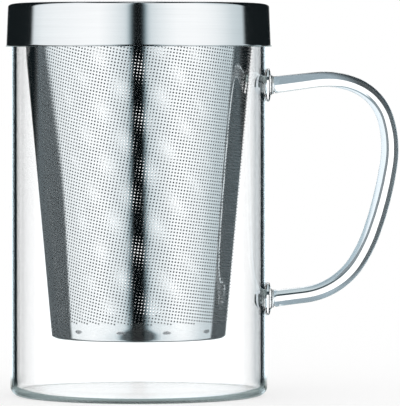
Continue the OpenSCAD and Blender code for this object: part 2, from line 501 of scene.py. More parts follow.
# Radius of the rod along its length, measured from the upper root, all in millimetres
ROD_THICKNESS = (
    (0, 2.66), (3, 2.58), (7, 2.51), (13, 2.40), (20, 2.34), (30, 2.40), (38, 2.52), (46, 2.66), (56, 2.78),
    (66, 2.80), (76, 2.74), (86, 2.67), (98, 2.58), (108, 2.53), (113, 2.58), (116.2, 2.68),
)
# The rod's bends from the upper root to the lower one: radius in millimetres, then turn in degrees
ROD_BENDS = ((24.904, 28), (16.437, 53), (34.368, 24.5), (104.597, 11.5), (47.318, 12.5), (22.912, 50.5))
# The straight arms before and after the bends, in millimetres, and the upper one's slope in degrees
UPPER_ARM = 12.996
LOWER_ARM = 9.546
ARM_SLOPE = 7
ROD_SIDES = 36
ARM_STEPS = 6
BEND_STEP = 2.6
# Where the rod is thicker than this it grows inwards only, in millimetres
PLAIN_ROD_RADIUS = 2.65
# Each end of the rod is necked in where it meets its pad, and runs on into it: how far along, and how thin
NECK = ((-1.4, 0.80), (-0.05, 0.84), (0.12, 0.95), (0.4, 0.995))


def rod_radius(length):
    """The rod's radius in millimetres at a length along it."""
    places, radii = zip(*ROD_THICKNESS)
    return float(np.interp(length, places, radii))


def rod_stations(root_x, root_z):
    """Centre, heading and length along the rod at each ring, in millimetres and degrees."""
    x, z, heading, length = root_x, root_z, ARM_SLOPE, 0.0
    stations = [(x, z, heading, length)]

    def straight(arm):
        nonlocal x, z, length
        for _ in range(ARM_STEPS):
            x += arm / ARM_STEPS * math.cos(heading * DEG)
            z += arm / ARM_STEPS * math.sin(heading * DEG)
            length += arm / ARM_STEPS
            stations.append((x, z, heading, length))

    straight(UPPER_ARM)
    for radius, turn in ROD_BENDS:
        steps = max(4, round(turn / BEND_STEP))
        for _ in range(steps):
            ahead = heading - turn / steps
            x += radius * (math.sin(heading * DEG) - math.sin(ahead * DEG))
            z += radius * (math.cos(ahead * DEG) - math.cos(heading * DEG))
            heading = ahead
            length += radius * turn / steps * DEG
            stations.append((x, z, heading, length))
    straight(LOWER_ARM)
    return stations


def necked(station, steps):
    """Rings at an end of the rod, each some way along it and thinner."""
    x, z, heading, radius = station
    return [(x + d * math.cos(heading * DEG), z + d * math.sin(heading * DEG), heading, radius * k)
            for d, k in steps]


def draw_rod(glass):
    """The rod: one ring of glass drawn on from station to station, turned and thinned as it goes."""
    root_x = (glass.radius + glass.pad_height) / MM
    stations = []
    for x, z, heading, along in rod_stations(root_x, glass.upper_root / MM):
        radius = rod_radius(along)
        inwards = max(0.0, radius - PLAIN_ROD_RADIUS)
        stations.append((x + inwards * math.sin(heading * DEG), z - inwards * math.cos(heading * DEG),
                         heading, radius))
    tail = [(-d, k) for d, k in reversed(NECK)]
    rings = necked(stations[0], NECK) + stations[1:-1] + necked(stations[-1], tail)

    x, z, heading, radius = rings[0]
    start_clean()
    bpy.ops.mesh.primitive_circle_add(vertices=ROD_SIDES, radius=radius * MM, fill_type="NGON",
                                      location=(x * MM, 0, z * MM), rotation=(0, (90 - heading) * DEG, 0))
    rod = bpy.context.object
    rod.name = "handle_draft"
    place_for_good()
    edit_mode()
    select_all()
    for before, after in zip(rings, rings[1:]):
        centre = (after[0] * MM, 0, after[1] * MM)
        bpy.ops.mesh.extrude_region_move(TRANSFORM_OT_translate={
            "value": ((after[0] - before[0]) * MM, 0, (after[1] - before[1]) * MM)})
        turn = before[2] - after[2]
        if turn:
            bpy.ops.transform.rotate(value=-turn * DEG, orient_axis="Y", orient_type="GLOBAL",
                                     center_override=centre)
        scale = after[3] / before[3]
        bpy.ops.transform.resize(value=(scale, scale, scale), center_override=centre)
    mesh = bmesh.from_edit_mesh(rod.data)
    last = next(f for f in mesh.faces if f.select)
    end_heading = rings[-1][2] * DEG
    if abs(abs(last.normal.dot(Vector((math.cos(end_heading), 0, math.sin(end_heading))))) - 1) > 1e-3:
        raise RuntimeError("the rod's last ring isn't square to its path")
    tidy_shell()
    object_mode()
    return rod


PAD_STEPS = 72
# Half section of a pad: radius, then height above the wall's outermost line, in millimetres
PAD_OUTLINE = (
    (0, -4.0), (0.9, -3.93), (1.7, -3.72), (2.4, -3.35), (2.9, -2.88), (3.2, -2.4), (3.4, -1.95), (3.5, -1.6),
    (4.6, -1.2), (5.12, -0.9), (5.2, 0.0), (5.19, 0.28), (5.08, 0.46), (4.85, 0.62), (4.5, 0.76),
    (4.0, 0.9), (3.5, 1.03),
    (3.15, 1.17), (2.93, 1.36), (2.82, 1.6), (2.79, 1.82), (2.70, 1.92), (2.60, 1.94), (0, 1.94),
)


def press_pad(glass, height):
    """A pad of glass: a low round gather that necks up to the rod and dimples the wall inside."""
    pad = lathe("pad_draft", [(radius * MM, rise * MM) for radius, rise in PAD_OUTLINE], PAD_STEPS)
    edit_mode()
    select_all()
    bpy.ops.transform.rotate(value=-90 * DEG, orient_axis="Y", orient_type="GLOBAL",
                             center_override=(0, 0, 0))
    bpy.ops.transform.translate(value=(glass.radius, 0, height))
    tidy_shell()
    object_mode()
    return pad


WALL_ROWS = 34
GLASS_CREASE = 28


def glass_outline(glass):
    """Half section of the drawn tube with its floor and fire-polished rim."""
    inner = glass.radius - glass.wall
    rim = glass.wall / 2
    top = glass.height - rim
    rows = [glass.base_corner + (top - glass.base_corner) * i / WALL_ROWS for i in range(1, WALL_ROWS)]
    foot = glass.radius - glass.base_corner
    return (
        [(0, glass.punt), (foot * 0.5, glass.punt * 0.85), (foot * 0.8, glass.punt * 0.45),
         (foot * 0.94, glass.punt * 0.08)]
        + arc((foot, glass.base_corner), glass.base_corner, -90, 0, 10)
        + [(glass.radius, z) for z in rows]
        + arc((glass.radius - rim, top), rim, 0, 180, 12)
        + [(inner, z) for z in reversed(rows) if z > glass.floor + glass.floor_corner]
        + arc((inner - glass.floor_corner, glass.floor + glass.floor_corner), glass.floor_corner, 0, -90, 8)
        + [(inner * 0.7, glass.floor), (inner * 0.35, glass.floor), (0, glass.floor)]
    )


class MUG_OT_glass(bpy.types.Operator):
    """Builds the tube, the two pads and the rod, and fuses them into one piece of glass"""

    bl_idname = "mug.glass"
    bl_label = "Mug glass"

    def execute(self, context):
        glass = context.scene.mug_glass
        mug = lathe("mug_glass", glass_outline(glass))
        gathers = [press_pad(glass, glass.upper_root), press_pad(glass, glass.lower_root), draw_rod(glass)]
        for gather in gathers:
            apply_modifier(mug, "BOOLEAN", operation="UNION", solver="EXACT", object=gather)
            bpy.data.objects.remove(gather)
        pick(mug)
        bpy.ops.object.shade_smooth_by_angle(angle=GLASS_CREASE * DEG)
        set_finishes(mug, clear_glass(glass))
        finish_piece(mug, "mug", "glass", "glass_body", "handle_rod", "upper_handle_pad", "lower_handle_pad")
        return {"FINISHED"}


# The infuser

# The lattice of holes is square on the flat sheet, and the sheet's rows meet the cone's sides squarely here
LATTICE_TURN = 115 * DEG
# The plain strip where the sheet's ends meet: its middle and half its width
SEAM_TURN = -75 * DEG
SEAM_HALF_WIDTH = 13 * DEG
SHEET_SECTORS = 4
# The wall draws in towards the pan below this height: millimetres for each square millimetre
FOOT_BEND_FROM = 23.0 * MM
FOOT_BEND = 0.00355 / MM
# The raised start of the sheet falls back over this length, and it is flat again where the collar holds it
LAP_REACH = 9 * MM
LAP_FADE = (104 * MM, 110 * MM)
# Flat sides round a hole and round the pan's plate
HOLE_SIDES = 8
PLATE_SIDES = 72
# Squares of sheet that a block has beyond what is needed
SPARE_CELLS = 6
SHEET_CREASE = 30


def cone_apex(steel):
    """Height of the point where the infuser's cone would end."""
    return GLASS_TOP.z - steel.mouth_radius / math.tan(steel.taper)


def angle_apart(first, second):
    """Smallest angle between two directions."""
    return abs((first - second + math.pi) % math.tau - math.pi)


def cells(steel, name, centre, counts, hole_radius):
    """A flat block of sheet squares about a centre, with a hole in each if it has a radius."""
    start_clean()
    corner = [round(c / steel.pitch) - (n - 1) // 2 for c, n in zip(centre, counts)]
    bpy.ops.mesh.primitive_plane_add(size=steel.pitch, location=(*[c * steel.pitch for c in corner], 0))
    block = bpy.context.object
    block.name = name
    place_for_good()
    if hole_radius:
        edit_mode()
        bpy.ops.mesh.select_mode(type="VERT")
        select_all()
        bpy.ops.mesh.delete(type="ONLY_FACE")
        bpy.ops.mesh.primitive_circle_add(vertices=HOLE_SIDES, radius=hole_radius, fill_type="NOTHING",
                                          location=(*[c * steel.pitch for c in corner], 0),
                                          rotation=(0, 0, 180 / HOLE_SIDES * DEG))
        select_all()
        bpy.ops.mesh.bridge_edge_loops()
        select_all()
        bpy.ops.mesh.normals_make_consistent(inside=False)
        mesh = bmesh.from_edit_mesh(block.data)
        mesh.faces.ensure_lookup_table()
        if mesh.faces[0].normal.z < 0:
            bpy.ops.mesh.flip_normals()
        object_mode()
    for axis, count in enumerate(counts):
        step = [0.0, 0.0, 0.0]
        step[axis] = steel.pitch
        apply_modifier(block, "ARRAY", count=count, use_relative_offset=False, use_constant_offset=True,
                       constant_offset_displace=step, use_merge_vertices=True, merge_threshold=WELD)
    return block


def drop_faces(block, unwanted):
    """Deletes the faces whose centre passes the test."""
    edit_mode()
    bpy.ops.mesh.select_all(action="DESELECT")
    bpy.ops.mesh.select_mode(type="FACE")
    mesh = bmesh.from_edit_mesh(block.data)
    for face in mesh.faces:
        if unwanted(face.calc_center_median()):
            face.select_set(True)
    bmesh.update_edit_mesh(block.data)
    bpy.ops.mesh.delete(type="FACE")
    object_mode()


def cut(plane_co, plane_no, **side):
    """Cuts the mesh in edit mode with a plane and clears one side."""
    select_all()
    bpy.ops.mesh.bisect(plane_co=plane_co, plane_no=plane_no, use_fill=False, threshold=WELD / 10, **side)


def flat_sheet(steel, name, centre, counts, holed, plain):
    """Squares with holes where holed(centre) is true, and plain ones where plain(centre) is, in one mesh."""
    def near(point):
        return [round(c / steel.pitch) * steel.pitch for c in point[:2]]

    perforated = cells(steel, name, centre, counts, steel.hole_radius)
    drop_faces(perforated, lambda c: not holed(*near(c)))
    blank = cells(steel, name + "_blank", centre, counts, 0)
    drop_faces(blank, lambda c: not plain(*near(c)))
    sheet = join([perforated, blank], name)
    edit_mode()
    select_all()
    bpy.ops.mesh.remove_doubles(threshold=WELD)
    object_mode()
    return sheet


def eased(value):
    """A smooth step from 0 to 1."""
    value = np.clip(value, 0, 1)
    return value * value * (3 - 2 * value)


def roll_to_cone(steel, sheet, lapped):
    """Rolls the flat sheet up to the infuser's cone, drawn in at the foot and raised where it is lapped."""
    count = len(sheet.data.vertices)
    flat = np.empty(count * 3)
    sheet.data.vertices.foreach_get("co", flat)
    flat = flat.reshape(-1, 3)
    slant = np.hypot(flat[:, 0], flat[:, 1])
    turn = np.arctan2(flat[:, 0], flat[:, 1]) / math.sin(steel.taper) + LATTICE_TURN
    radius = slant * math.sin(steel.taper)
    height = cone_apex(steel) + slant * math.cos(steel.taper)
    below = np.maximum(0, FOOT_BEND_FROM - height)
    radius -= FOOT_BEND * below * below
    if lapped:
        along = (turn - SEAM_TURN) * radius
        fade = (height - LAP_FADE[0]) / (LAP_FADE[1] - LAP_FADE[0])
        radius += steel.lap * (1 - eased(along / LAP_REACH)) * (1 - eased(fade))
    rolled = np.column_stack((radius * np.sin(turn), -radius * np.cos(turn), height))
    sheet.data.vertices.foreach_set("co", rolled.ravel())
    sheet.data.update()


class MUG_OT_infuser_wall(bpy.types.Operator):
    """Builds the perforated wall of the infuser: flat squares with holes, trimmed, rolled up and thickened"""

    bl_idname = "mug.infuser_wall"
    bl_label = "Infuser wall"

    def execute(self, context):
        steel = context.scene.infuser
        finish = rolled_steel("perforated_sheet_steel", steel.steel, 0.03, 0.05, True)
        # The inner face: rougher steel whose darkened colour is painted shade inside the infuser
        shaded_inner_finish = rolled_steel("shaded_inner_sheet_steel", steel.shaded_inner_steel, 0.25, 0.35)
        # The holes' walls: rough punched steel, with its colour darkened to 0.8 of the sheet's as painted shade
        # in the holes
        shaded_rim_finish = rolled_steel("shaded_punched_rim_steel", [c * 0.8 for c in steel.steel], 0.45, 0.55)
        sin_taper, cos_taper = math.sin(steel.taper), math.cos(steel.taper)
        apex = cone_apex(steel)
        low, high = WALL_BOX[0].z, WALL_BOX[1].z
        near, far = (low - apex) / cos_taper, (high - apex) / cos_taper
        margin = 1.5 * steel.pitch

        for index in range(SHEET_SECTORS):
            turns = [SEAM_TURN + math.tau * (index + side) / SHEET_SECTORS for side in (0, 1)]
            start, end = [(turn - LATTICE_TURN) * sin_taper for turn in turns]

            def in_sector(u, v):
                slant, fan = math.hypot(u, v), math.atan2(u, v)
                side = margin / slant
                return near - margin < slant < far + margin and start - side < fan < end + side

            def has_hole(u, v):
                slant, fan = math.hypot(u, v), math.atan2(u, v)
                height = apex + slant * cos_taper
                turn = fan / sin_taper + LATTICE_TURN
                return (steel.field_low < height < steel.field_high
                        and angle_apart(turn, SEAM_TURN) > SEAM_HALF_WIDTH)

            corners = [(s * math.sin(f), s * math.cos(f)) for s in (near, far)
                       for f in (start, (start + end) / 2, end)]
            lows = [min(c[i] for c in corners) for i in (0, 1)]
            highs = [max(c[i] for c in corners) for i in (0, 1)]
            centre = [(a + b) / 2 for a, b in zip(lows, highs)]
            counts = [math.ceil((b - a) / steel.pitch) + SPARE_CELLS for a, b in zip(lows, highs)]
            sheet = flat_sheet(steel, f"infuser_wall_{index + 1}", centre, counts,
                               lambda u, v: in_sector(u, v) and has_hole(u, v),
                               lambda u, v: in_sector(u, v) and not has_hole(u, v))
            edit_mode()
            cut((0, 0, 0), (math.cos(start), -math.sin(start), 0), clear_inner=True)
            cut((0, 0, 0), (math.cos(end), -math.sin(end), 0), clear_outer=True)
            object_mode()
            roll_to_cone(steel, sheet, index == 0)
            edit_mode()
            cut((0, 0, low), (0, 0, 1), clear_inner=True)
            cut((0, 0, high), (0, 0, 1), clear_outer=True)
            object_mode()
            set_finishes(sheet, finish, shaded_inner_finish, shaded_rim_finish)
            apply_modifier(sheet, "SOLIDIFY", thickness=steel.sheet, offset=-1, use_rim=True,
                           material_offset=1, material_offset_rim=2)
            bpy.ops.object.shade_smooth_by_angle(angle=SHEET_CREASE * DEG)
            finish_piece(sheet, "infuser", "infuser_steel", "infuser_wall")
        return {"FINISHED"}


class MUG_OT_infuser_pan(bpy.types.Operator):
    """Builds the pan that closes the infuser's foot: a perforated plate in a pressed ring"""

    bl_idname = "mug.infuser_pan"
    bl_label = "Infuser pan"

    def execute(self, context):
        steel = context.scene.infuser
        low, high = BASE_BOX[0].z, BASE_BOX[1].z
        mouth = BASE_BOX[1].x
        corner = 0.8 * MM
        foot = mouth - (high - low - corner) * math.tan(steel.taper)
        plate = steel.plate_radius
        reach = plate + steel.pitch
        plain_edge = 1.2 * steel.pitch
        hole_reach = plate - plain_edge
        count = 2 * math.ceil(plate / steel.pitch) + 3
        disc = flat_sheet(steel, "pan_plate", (0, 0), (count, count),
                          lambda u, v: math.hypot(u, v) < hole_reach,
                          lambda u, v: hole_reach <= math.hypot(u, v) < reach)
        edit_mode()
        for side in range(PLATE_SIDES):
            angle = math.tau * side / PLATE_SIDES
            outwards = (math.cos(angle), math.sin(angle), 0)
            cut([plate * c for c in outwards], outwards, clear_outer=True)
        select_all()
        bpy.ops.transform.translate(value=(0, 0, low + steel.sheet))
        object_mode()
        apply_modifier(disc, "SOLIDIFY", thickness=steel.sheet, offset=-1, use_rim=True)
        bpy.ops.object.shade_smooth_by_angle(angle=SHEET_CREASE * DEG)
        inner = corner - steel.sheet
        ring = lathe("pan_ring", (
            [(plate, low)] + arc((foot - corner, low + corner), corner, -90, 0, 6) + [(mouth, high)]
            + [(mouth - steel.sheet, high)] + arc((foot - corner, low + corner), inner, 0, -90, 5)
            + [(plate, low + steel.sheet), (plate, low)]))
        pan = join([ring, disc], "infuser_pan")
        set_finishes(pan, rolled_steel("pressed_pan_steel", steel.steel, 0.12, 0.2))
        finish_piece(pan, "infuser", "infuser_steel", "infuser_base")
        return {"FINISHED"}


class MUG_OT_infuser_collar(bpy.types.Operator):
    """Builds the collar round the infuser's mouth, with the flange that hangs on the rim"""

    bl_idname = "mug.infuser_collar"
    bl_label = "Infuser collar"

    def execute(self, context):
        steel = context.scene.infuser
        sheet = 0.5 * MM
        bend = 0.8 * MM
        gap = 0.1 * MM
        low, top, out = COLLAR_BOX[0].z, COLLAR_BOX[1].z, COLLAR_BOX[1].x

        def wall_radius(z):
            return steel.mouth_radius - (GLASS_TOP.z - z) * math.tan(steel.taper)

        width = sheet / math.cos(steel.taper)
        bend_z = top - sheet - bend
        bend_r = wall_radius(bend_z) + gap + width + bend / math.cos(steel.taper)
        tilt = 180 - steel.taper / DEG
        edge = 0.12 * MM
        collar = lathe("infuser_collar_ring", (
            [(wall_radius(low) + gap, low), (wall_radius(low) + gap + width, low)]
            + arc((bend_r, bend_z), bend, tilt, 90, 8)
            + [(out - edge, top - sheet), (out, top - sheet + edge), (out, top - edge), (out - edge, top)]
            + arc((bend_r, bend_z), bend + sheet, 90, tilt, 10)
            + [(wall_radius(low) + gap, low)]))
        set_finishes(collar, rolled_steel("drawn_collar_steel", steel.steel, 0.14, 0.24))
        finish_piece(collar, "infuser", "plain_steel", "infuser_collar")
        return {"FINISHED"}


# The lid

SEAL_THICKNESS = 1.2 * MM


class MUG_OT_lid_cap(bpy.types.Operator):
    """Builds the pressed and brushed cap with its folded hem"""

    bl_idname = "mug.lid_cap"
    bl_label = "Lid cap"

    def execute(self, context):
        lid = context.scene.lid
        low, top, out = CAP_BOX[0].z, CAP_BOX[1].z, CAP_BOX[1].x
        skirt = out + lid.draft * lid.sheet / (top - low - lid.corner)

        def skirt_r(z):
            return skirt - lid.draft * (z - low) / (top - low - lid.corner)

        shoulder = skirt_r(top - lid.corner)
        fold = low + lid.sheet
        hem_top = fold + lid.hem
        hem_r = skirt_r(hem_top) - lid.sheet
        groove, groove_height = 0.05 * MM, 1.2 * MM
        rows = (top - lid.corner - 0.15 * MM, top - lid.corner - 3 * MM, fold + 2 * MM, fold + 0.12 * MM)
        cap = lathe("lid_cap_shell", (
            [(0, top), (shoulder * 0.3, top), (shoulder * 0.7, top)]
            + arc((shoulder - lid.corner, top - lid.corner), lid.corner, 90, 0, 12)
            + [(skirt_r(z), z) for z in rows]
            + arc((skirt_r(fold) - lid.sheet, fold), lid.sheet, 0, -180, 14)
            + [(hem_r - lid.sheet, hem_top), (hem_r - groove, hem_top),
               (hem_r - groove, hem_top - groove_height), (hem_r, hem_top - groove_height), (hem_r, hem_top)]
            + arc((shoulder - lid.corner, top - lid.corner), lid.corner - lid.sheet, 0, 90, 8)
            + [(shoulder * 0.5, top - lid.sheet), (0, top - lid.sheet)]))
        set_finishes(cap, brushed_steel(lid))
        finish_piece(cap, "lid", "lid_steel", "lid_cap")
        return {"FINISHED"}


class MUG_OT_lid_plate(bpy.types.Operator):
    """Builds the plate inside the cap, with the plug that reaches into the infuser"""

    bl_idname = "mug.lid_plate"
    bl_label = "Lid inner plate"

    def execute(self, context):
        lid = context.scene.lid
        low, lip_top, out = LINER_BOX[0].z, LINER_BOX[1].z, LINER_BOX[1].x
        plug = SEAL_BOX[1].x - SEAL_THICKNESS
        sheet = lid.liner
        corner = 2 * sheet
        above_rim = 0.7 * MM
        ledge = GLASS_TOP.z + above_rim
        bend = 0.35 * MM
        plate = lathe("lid_inner_plate", (
            [(0, low), (plug * 0.5, low)]
            + arc((plug - corner, low + corner), corner, -90, 0, 7)
            + [(plug, ledge)]
            + arc((out - bend, ledge + bend), bend, -90, 0, 4)
            + [(out, lip_top), (out - sheet, lip_top), (out - sheet, ledge + sheet)]
            + arc((plug - sheet + bend, ledge + sheet - bend), bend, 90, 180, 4)
            + arc((plug - corner, low + corner), corner - sheet, 0, -90, 5)
            + [(plug * 0.5, low + sheet), (0, low + sheet)]))
        set_finishes(plate, rolled_steel("spun_plate_steel", lid.steel, 0.16, 0.26))
        finish_piece(plate, "lid", "plain_steel", "lid_liner")
        return {"FINISHED"}


class MUG_OT_lid_seal(bpy.types.Operator):
    """Builds the soft ring round the plug"""

    bl_idname = "mug.lid_seal"
    bl_label = "Lid seal"

    def execute(self, context):
        lid = context.scene.lid
        low, high, out = SEAL_BOX[0].z, SEAL_BOX[1].z, SEAL_BOX[1].x
        inner = out - SEAL_THICKNESS
        middle = (low + high) / 2
        bulge, edge = 0.4 * MM, 0.15 * MM
        flat = out - bulge
        ring = lathe("lid_seal_ring", (
            [(inner, low), (flat - edge, low), (flat, low + edge), (flat, middle - bulge)]
            + arc((flat, middle), bulge, -90, 90, 10)
            + [(flat, high - edge), (flat - edge, high), (inner, high), (inner, low)]), crease=40)
        set_finishes(ring, milky_silicone(lid))
        finish_piece(ring, "lid", "silicone", "lid_seal")
        return {"FINISHED"}


# The studio

# What steel mirrors round the studio: degrees round it from the camera side, left negative, then brightness
AROUND = (
    (-180, 1.0), (-150, 1.0), (-113, 0.66), (-104, 0.74), (-90, 0.86), (-76, 0.90), (-50, 0.95), (-33, 0.97),
    (0, 0.96), (33, 0.95), (50, 0.96), (62, 0.93), (71, 0.88), (80, 0.80), (89, 0.69), (99, 0.62),
    (108, 0.60), (150, 1.0), (180, 1.0),
)
# The same from straight down to straight up
UPWARDS = ((-90, 0.02), (-68, 0.03), (-60, 1.0), (60, 1.0), (66, 0.04), (78, 0.04), (84, 0.95), (90, 0.95))
# The dark flags beyond the boxes: where each starts by height, degrees up and then round, and where both end
LEFT_FLAG = ((-20, 96), (-9.9, 96), (-8.5, 91), (-7.2, 96), (-5.6, 104), (3, 101), (10, 101))
RIGHT_FLAG = ((-20, 108), (-5, 108), (0, 104), (3, 101), (10, 101))
FLAG_EDGE = 4.5
FLAG_END = (157, 160)
FLAG_DARK = 0.010
# The far edge of the table: what is mirrored behind the mug is grey below this height, and dark where steel
# mirrors it a second time
TABLE_EDGE = (-5.5, -4.0)
TABLE_GREY = (0.33, 0.39, 0.385)
# What the glass's thick base mirrors on its inside, off to the sides and low behind
BASE_GREY = (0.19, 0.20, 0.185)
# The dark gap between the boxes at the camera side, and how it widens and shifts with height: degrees, then
# brightness, width or shift
GAP = (
    (0, 0.003), (3.3, 0.005), (4.3, 0.045), (5.8, 0.21), (7.6, 0.50), (9.4, 0.69), (11.5, 0.77), (18, 0.86),
    (26, 0.94), (34, 1.0),
)
GAP_REACH = 40
GAP_SPREAD = (
    (-20, 1.6), (-14.6, 1.7), (-13.5, 1.85), (-12.9, 1.58), (-12.0, 1.32), (-11.0, 1.17), (-9.5, 1.03),
    (0, 1.0), (10, 1.0),
)
GAP_SHIFT = ((-20, 9), (-17.2, 10), (-16.6, 13.5), (-15.6, 12.5), (-15.0, 7), (-14.4, 1), (-13.8, 0), (10, 0))
# What is seen through glass alone: round it from behind on the left, by the camera, to behind
PALE = (0.68, 0.74, 0.785)
AROUND_GLASS = (
    (-180, 1.0), (-90, 1.0), (90, PALE), (158, PALE), (168, (0.76, 0.81, 0.84)), (173, 1.0), (180, 1.0),
)
# The same from straight down to straight up, for rays that have been through one piece of glass only
UPWARDS_GLASS = (
    (-90, 1.0), (-56, 1.0), (-46, 0.46), (-14, 0.60), (-9, 1.0), (44, 1.0), (48, 0.72), (52, 0.9), (90, 0.9),
)
# A dark flag far behind on the left, which draws the dark line in the wall's side: round, then by height
GLASS_FLAG = (-157.5, -156, -90, -85)
GLASS_FLAG_HEIGHTS = (-8, -6, 3, 5)
GLASS_FLAG_DARK = 0.05
# A dark hoop far behind that draws the thin line along the rod's inner side: degrees round the line of sight
# from straight down, by the right, to straight up, then its middle in degrees off that line, and its brightness
HOOP = (
    (-180, 55, 0.30), (-168, 62, 0.30), (-150, 62, 1.0), (-60, 15, 1.0), (-35, 15, 0.13),
    (0, 15.5, 0.065), (30, 15.5, 0.09), (58, 14.5, 0.21), (70, 14, 1.0),
    (108, 15, 1.0), (118, 17, 0.26), (135, 24, 0.31), (159, 31, 0.37), (170, 43, 0.30), (180, 55, 0.30),
)
HOOP_WIDTH = 8.5
HOOP_SOFTNESS = 1
COOL = (0.60, 0.89, 1.0)
# The backdrop's strength through glass: a little over-exposed, because glass loses about a fifth of it
OVEREXPOSED = 1.3
# The studio's strength in steel, how much stronger the inner face of the glass mirrors it, and in what tint
MIRRORED = 1.15
VEIL = 1.5
VEIL_TINT = (0.84, 1.0, 1.08)
# The heights, in degrees, between which numbers change with height
HEIGHTS = (-20, 10)
# The Light Path node's counts: a count above the first is at least one, and a count under the second is at
# most two, as when a ray has been into one piece of glass and out of it
ANY = 0.5
ONE_PIECE = 2.5


def cool(level):
    """A grey level, tinted cool where it is dark, or a colour as it is."""
    if hasattr(level, "__len__"):
        return level
    return [level * (c + (1 - c) * min(level, 1)) for c in COOL]


def cool_ramp(place, stops, low, high):
    """A cool ramp over (place, brightness or colour) stops between low and high."""
    return ramp(place, [((a - low) / (high - low), cool(level)) for a, level in stops])


def over_heights(elevation, stops, scale):
    """A number that changes with height, from (degrees, number) stops over HEIGHTS."""
    low, high = HEIGHTS
    places = [((a - low) / (high - low), number / scale) for a, number in stops]
    return ramp(spread(elevation, low, high, 0, 1), places) * scale


def degrees(value):
    """Degrees from radians."""
    return value / DEG


def studio_in_mirrors(path, signed, elevation):
    """What steel and the glass's faces mirror: white boxes either side, dark flags beyond, white behind."""
    in_glass = mirrored_in_glass(path)
    turn = signed.maths("ABSOLUTE")
    heights = cool_ramp(spread(elevation, -90, 90, 0, 1), UPWARDS, -90, 90)
    around = cool_ramp(spread(signed, -180, 180, 0, 1), AROUND, -180, 180)
    mirrored = multiply_colours(around, tint_between(in_glass, heights, (1, 1, 1)))

    shifted = (turn - over_heights(elevation, GAP_SHIFT, 20)).maths("MAXIMUM", 0)
    across = shifted / over_heights(elevation, GAP_SPREAD, 5)
    mirrored = multiply_colours(mirrored, cool_ramp(across / GAP_REACH, GAP, 0, GAP_REACH))

    left = over_heights(elevation, LEFT_FLAG, 180)
    right = over_heights(elevation, RIGHT_FLAG, 180)
    past = turn - (signed < 0).maths("MULTIPLY_ADD", left - right, right)
    flagged = spread(past, 0, FLAG_EDGE, 0, 1) * spread(turn, *FLAG_END, 1, 0)
    level = (1 - in_glass).maths("MAXIMUM", window(elevation, *GLASS_FLAG_HEIGHTS))
    below = spread(turn, *FLAG_END, 0, 1) * spread(elevation, *TABLE_EDGE, 1, 0)
    table = tint_between(path["Glossy Depth"] > ONE_PIECE, TABLE_GREY, cool(FLAG_DARK))
    mirrored = tint_between(below, mirrored, tint_between(in_glass, table, BASE_GREY))
    mirrored = tint_between(flagged, mirrored, tint_between(level, BASE_GREY, cool(FLAG_DARK)))
    return multiply_colours(mirrored, tint_between(in_glass, (1, 1, 1), VEIL_TINT))


def studio_through_glass(path, signed, elevation, hoop):
    """What glass alone shows of the studio."""
    around = cool_ramp(spread(signed, -180, 180, 0, 1), AROUND_GLASS, -180, 180)
    heights = cool_ramp(spread(elevation, -90, 90, 0, 1), UPWARDS_GLASS, -90, 90)
    solid = path["Transmission Depth"] < ONE_PIECE
    seen = multiply_colours(around, tint_between(solid, (1, 1, 1), heights))
    seen = multiply_colours(seen, hoop)
    flagged = window(signed, *GLASS_FLAG) * window(elevation, *GLASS_FLAG_HEIGHTS)
    return tint_between(flagged, seen, cool(GLASS_FLAG_DARK))


def studio_light(path):
    """Colour of the studio by direction, as mirrors and glass show it."""
    x, y, z = axes(result(path["Glossy Depth"].tree, "ShaderNodeTexCoord", (), "Generated"))
    signed = degrees(x.maths("ARCTAN2", y * -1))
    elevation = degrees(z.maths("ARCSINE"))
    mirrored = studio_in_mirrors(path, signed, elevation)
    through = studio_through_glass(path, signed, elevation, hoop_light(path, x, y, z))
    return tint_between(seen_through_glass(path), mirrored, through)


def hoop_light(path, x, y, z):
    """The dark hoop round the line of sight, which only the rod and the solid edges of the wall show."""
    off = degrees(y.maths("ARCCOSINE"))
    round_it = spread(degrees(x.maths("ARCTAN2", z * -1)), -180, 180, 0, 1)
    middle = ramp(round_it, [((a + 180) / 360, m / 90) for a, m, level in HOOP]) * 90
    colour = cool_ramp(round_it, [(a, level) for a, m, level in HOOP], -180, 180)
    away = (off - middle).maths("ABSOLUTE")
    half = HOOP_WIDTH / 2
    inside = spread(away, half - HOOP_SOFTNESS, half + HOOP_SOFTNESS, 1, 0)
    return tint_between(inside * (path["Transmission Depth"] < ONE_PIECE), (1, 1, 1), colour)


def in_one_piece(path):
    """True for rays that have met one piece of glass."""
    return (path["Transmission Depth"] > ANY) * (path["Transmission Depth"] < ONE_PIECE)


def mirrored_in_glass(path):
    """True for what the faces of the glass mirror, where no steel is on the way."""
    return (path["Glossy Depth"] > ANY) * in_one_piece(path)


def seen_through_glass(path):
    """True for what glass alone shows, with no mirror or dull surface on the way."""
    return path["Is Transmission Ray"] * ((path["Glossy Depth"] < ANY) * (path["Diffuse Depth"] < ANY))


def studio_strength(path):
    """The camera and dull surfaces meet plain white; glass is over-exposed, as its thin edges show."""
    lit = (path["Glossy Depth"] > ANY) * (path["Diffuse Depth"] < ANY)
    mirror = lit * in_one_piece(path).maths("MULTIPLY_ADD", MIRRORED * (VEIL - 1), MIRRORED - 1)
    clear = seen_through_glass(path) * (OVEREXPOSED - 1)
    return mirror + clear + 1


def bare_tree(owner):
    """Clears a material's or the world's nodes, and gives its tree and what Light Path tells of each ray."""
    owner.use_nodes = True
    tree = owner.node_tree
    tree.nodes.clear()
    path = add_node(tree, "ShaderNodeLightPath").outputs
    return tree, {socket.name: Value(tree, socket) for socket in path}


def build_world(context):
    """White for the camera, even light for dull surfaces, and the studio for steel and glass."""
    world = bpy.data.worlds.new("white_studio")
    context.scene.world = world
    tree, path = bare_tree(world)
    plain = path["Is Camera Ray"].maths("MAXIMUM", path["Diffuse Depth"] > ANY)
    inputs = {"Color": tint_between(plain, studio_light(path), (1, 1, 1)), "Strength": studio_strength(path)}
    background = result(tree, "ShaderNodeBackground", inputs)
    feed(add_node(tree, "ShaderNodeOutputWorld").inputs["Surface"], background)
    world.cycles.sampling_method = "NONE"


